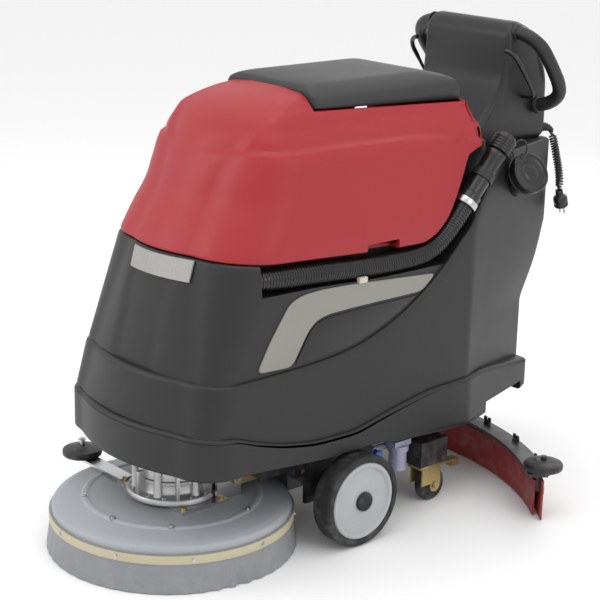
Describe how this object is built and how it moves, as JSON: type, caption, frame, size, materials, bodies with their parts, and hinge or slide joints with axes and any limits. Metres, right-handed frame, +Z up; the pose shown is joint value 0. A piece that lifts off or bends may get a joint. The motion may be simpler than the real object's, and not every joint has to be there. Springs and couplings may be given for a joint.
{
  "type": "walk-behind floor scrubber",
  "caption": "Walk-behind wet and dry floor scrubber with a disc brush deck, tilting recovery tank, arched squeegee and steering console.",
  "frame": {"origin": "on the floor, under the middle of the machine's box without its charger cord", "axes": "+Z up, -Y is the way it drives, +X is the machine's left-hand side"},
  "size_m": [0.896, 1.2988, 1.044],
  "materials": {
    "frame_steel": "satin",
    "body_black": "textured",
    "console_black": "textured",
    "panel_grey": "satin",
    "plate_grey": "brushed",
    "stripe_silver": "satin",
    "inset_black": "gloss",
    "hose_black": "satin",
    "motor_grey": "painted",
    "steel": "satin",
    "battery_case": "moulded",
    "tank_red": "moulded",
    "lid_grey": "textured",
    "seal_rubber": "matt",
    "cover_grey": "moulded",
    "strap_cream": "woven",
    "skirt_grey": "matt",
    "cast_alloy": "cast",
    "bristle_blue": "fibre",
    "zinc": "zinc plated",
    "blade_red": "matt",
    "strap_olive": "satin",
    "tyre_rubber": "matt",
    "rim_grey": "moulded",
    "caster_rubber": "matt",
    "filter_clear": "gloss",
    "button_green": "gloss",
    "button_blue": "gloss",
    "valve_blue": "gloss",
    "cage_cream": "moulded"
  },
  "bodies": {
    "chassis": {"chassis_frame": "frame_steel", "solution_tank": "body_black", "console_shell": "console_black", "control_panel": "panel_grey", "name_plate": "plate_grey", "side_stripes": "stripe_silver", "side_insets": "inset_black", "drain_hose": "hose_black", "drain_cuff": "hose_black", "drain_collar": "hose_black", "filler_neck": "hose_black", "drive_transaxle": "motor_grey", "wheel_axle": "steel", "batteries": "battery_case", "suction_motor": "motor_grey", "battery_charger": "panel_grey", "cord_gland": "hose_black", "charger_cord": "hose_black", "charger_plug": "hose_black", "hand_grips": "console_black", "solution_filter": "filter_clear", "suction_hose": "hose_black"},
    "tank": {"recovery_tank": "tank_red", "float_cage": "cage_cream"},
    "lid": {"tank_lid": "lid_grey", "lid_seal": "seal_rubber"},
    "cap": {"filler_cap": "hose_black"},
    "start_lever": {"start_lever": "frame_steel"},
    "squeegee_lever": {"squeegee_lever": "console_black"},
    "deck_pedal": {"deck_pedal": "frame_steel"},
    "key": {"key": "steel"},
    "button_brush": {"button_brush": "button_green"},
    "button_suction": {"button_suction": "button_blue"},
    "valve": {"valve_handle": "valve_blue"},
    "arms": {"deck_arms": "zinc"},
    "deck": {"deck_cover": "cover_grey", "skirt_strap": "strap_cream", "deck_skirt": "skirt_grey", "gearmotor": "cast_alloy", "deck_bracket": "steel"},
    "bumper": {"bumper_roller": "caster_rubber"},
    "brush": {"brush_plate": "panel_grey", "brush_bristles": "bristle_blue"},
    "squeegee": {"squeegee_bracket": "zinc", "squeegee_plate": "frame_steel", "squeegee_blades": "blade_red", "blade_strap": "strap_olive", "wing_screws": "console_black"},
    "end_roller_left": {"roller_left": "caster_rubber"},
    "end_roller_right": {"roller_right": "caster_rubber"},
    "caster_left": {"caster_fork_left": "zinc"},
    "caster_right": {"caster_fork_right": "zinc"},
    "caster_tread_left": {"caster_wheel_left": "caster_rubber"},
    "caster_tread_right": {"caster_wheel_right": "caster_rubber"},
    "brake_left": {"caster_pedal_left": "zinc"},
    "brake_right": {"caster_pedal_right": "zinc"},
    "wheel_left": {"tyre_left": "tyre_rubber", "rim_left": "rim_grey"},
    "wheel_right": {"tyre_right": "tyre_rubber", "rim_right": "rim_grey"}
  },
  "joints": [
    {"name": "tank_tilt", "type": "hinge", "parent": "chassis", "child": "tank", "pos_m": [-0.224, -0.0735, 0.606], "axis": [0, -1, 0], "range_deg": [0, 70]},
    {"name": "lid_open", "type": "hinge", "parent": "tank", "child": "lid", "pos_m": [0, 0.3195, 0.88852], "axis": [-1, 0, 0], "range_deg": [0, 80]},
    {"name": "cap_turn", "type": "hinge", "parent": "chassis", "child": "cap", "pos_m": [0.211, 0.448, 0.7146], "axis": [0.8529, -0.1504, 0.5], "range_deg": [0, 120]},
    {"name": "start_squeeze", "type": "hinge", "parent": "chassis", "child": "start_lever", "pos_m": [0, 0.5265, 0.872], "axis": [-1, 0, 0], "range_deg": [0, 12], "stiffness_Nm_per_rad": 4, "springref_deg": -8.59},
    {"name": "squeegee_lift", "type": "hinge", "parent": "chassis", "child": "squeegee", "pos_m": [0, 0.2565, 0.125], "axis": [1, 0, 0], "range_deg": [0, 12], "deforming": ["suction_hose"]},
    {"name": "squeegee_hand", "type": "hinge", "parent": "chassis", "child": "squeegee_lever", "pos_m": [0, 0.5225, 0.802], "axis": [1, 0, 0], "range_deg": [0, 24]},
    {"name": "arm_lift", "type": "hinge", "parent": "chassis", "child": "arms", "pos_m": [0, -0.1435, 0.148], "axis": [-1, 0, 0], "range_deg": [0, 15]},
    {"name": "deck_level", "type": "hinge", "parent": "arms", "child": "deck", "pos_m": [0, -0.2735, 0.148], "axis": [-1, 0, 0], "range_deg": [-15, 0]},
    {"name": "pedal_press", "type": "hinge", "parent": "chassis", "child": "deck_pedal", "pos_m": [-0.123, 0.5105, 0.128], "axis": [-1, 0, 0], "range_deg": [0, 15]},
    {"name": "brush_spin", "type": "hinge", "parent": "deck", "child": "brush", "pos_m": [0, -0.3645, 0.06], "axis": [0, 0, 1], "continuous": true},
    {"name": "bumper_spin", "type": "hinge", "parent": "deck", "child": "bumper", "pos_m": [-0.265, -0.4085, 0.126], "axis": [0, 0, 1], "continuous": true},
    {"name": "roller_left_spin", "type": "hinge", "parent": "squeegee", "child": "end_roller_left", "pos_m": [0.405, 0.3429, 0.115], "axis": [0, 0, 1], "continuous": true},
    {"name": "roller_right_spin", "type": "hinge", "parent": "squeegee", "child": "end_roller_right", "pos_m": [-0.405, 0.3429, 0.115], "axis": [0, 0, 1], "continuous": true},
    {"name": "caster_left_swivel", "type": "hinge", "parent": "chassis", "child": "caster_left", "pos_m": [0.185, 0.1885, 0.11], "axis": [0, 0, 1], "continuous": true},
    {"name": "caster_left_roll", "type": "hinge", "parent": "caster_left", "child": "caster_tread_left", "pos_m": [0.185, 0.2165, 0.0375], "axis": [1, 0, 0], "continuous": true},
    {"name": "brake_left_press", "type": "hinge", "parent": "caster_left", "child": "brake_left", "pos_m": [0.185, 0.2285, 0.078], "axis": [-1, 0, 0], "range_deg": [0, 10]},
    {"name": "wheel_left_spin", "type": "hinge", "parent": "chassis", "child": "wheel_left", "pos_m": [0.25, -0.0735, 0.1], "axis": [1, 0, 0], "continuous": true},
    {"name": "caster_right_swivel", "type": "hinge", "parent": "chassis", "child": "caster_right", "pos_m": [-0.185, 0.1885, 0.11], "axis": [0, 0, 1], "continuous": true},
    {"name": "caster_right_roll", "type": "hinge", "parent": "caster_right", "child": "caster_tread_right", "pos_m": [-0.185, 0.2165, 0.0375], "axis": [1, 0, 0], "continuous": true},
    {"name": "brake_right_press", "type": "hinge", "parent": "caster_right", "child": "brake_right", "pos_m": [-0.185, 0.2285, 0.078], "axis": [-1, 0, 0], "range_deg": [0, 10]},
    {"name": "wheel_right_spin", "type": "hinge", "parent": "chassis", "child": "wheel_right", "pos_m": [-0.25, -0.0735, 0.1], "axis": [1, 0, 0], "continuous": true},
    {"name": "valve_turn", "type": "hinge", "parent": "chassis", "child": "valve", "pos_m": [0.2, 0.0365, 0.158], "axis": [1, 0, 0], "range_deg": [0, 90]},
    {"name": "key_turn", "type": "hinge", "parent": "chassis", "child": "key", "pos_m": [0.058, 0.57105, 0.99013], "axis": [0, 0.9063, 0.4226], "range_deg": [0, 90]},
    {"name": "button_brush_press", "type": "slide", "parent": "chassis", "child": "button_brush", "axis": [0, -0.9063, -0.4226], "range_m": [0, 0.0025], "stiffness_N_per_m": 400, "springref_m": -0.001},
    {"name": "button_suction_press", "type": "slide", "parent": "chassis", "child": "button_suction", "axis": [0, -0.9063, -0.4226], "range_m": [0, 0.0025], "stiffness_N_per_m": 400, "springref_m": -0.001}
  ],
  "couplings": [
    {"joint": "deck_level", "follows": "arm_lift", "ratio": -1},
    {"joint": "pedal_press", "follows": "arm_lift", "ratio": 1},
    {"joint": "squeegee_hand", "follows": "squeegee_lift", "ratio": 2}
  ]
}
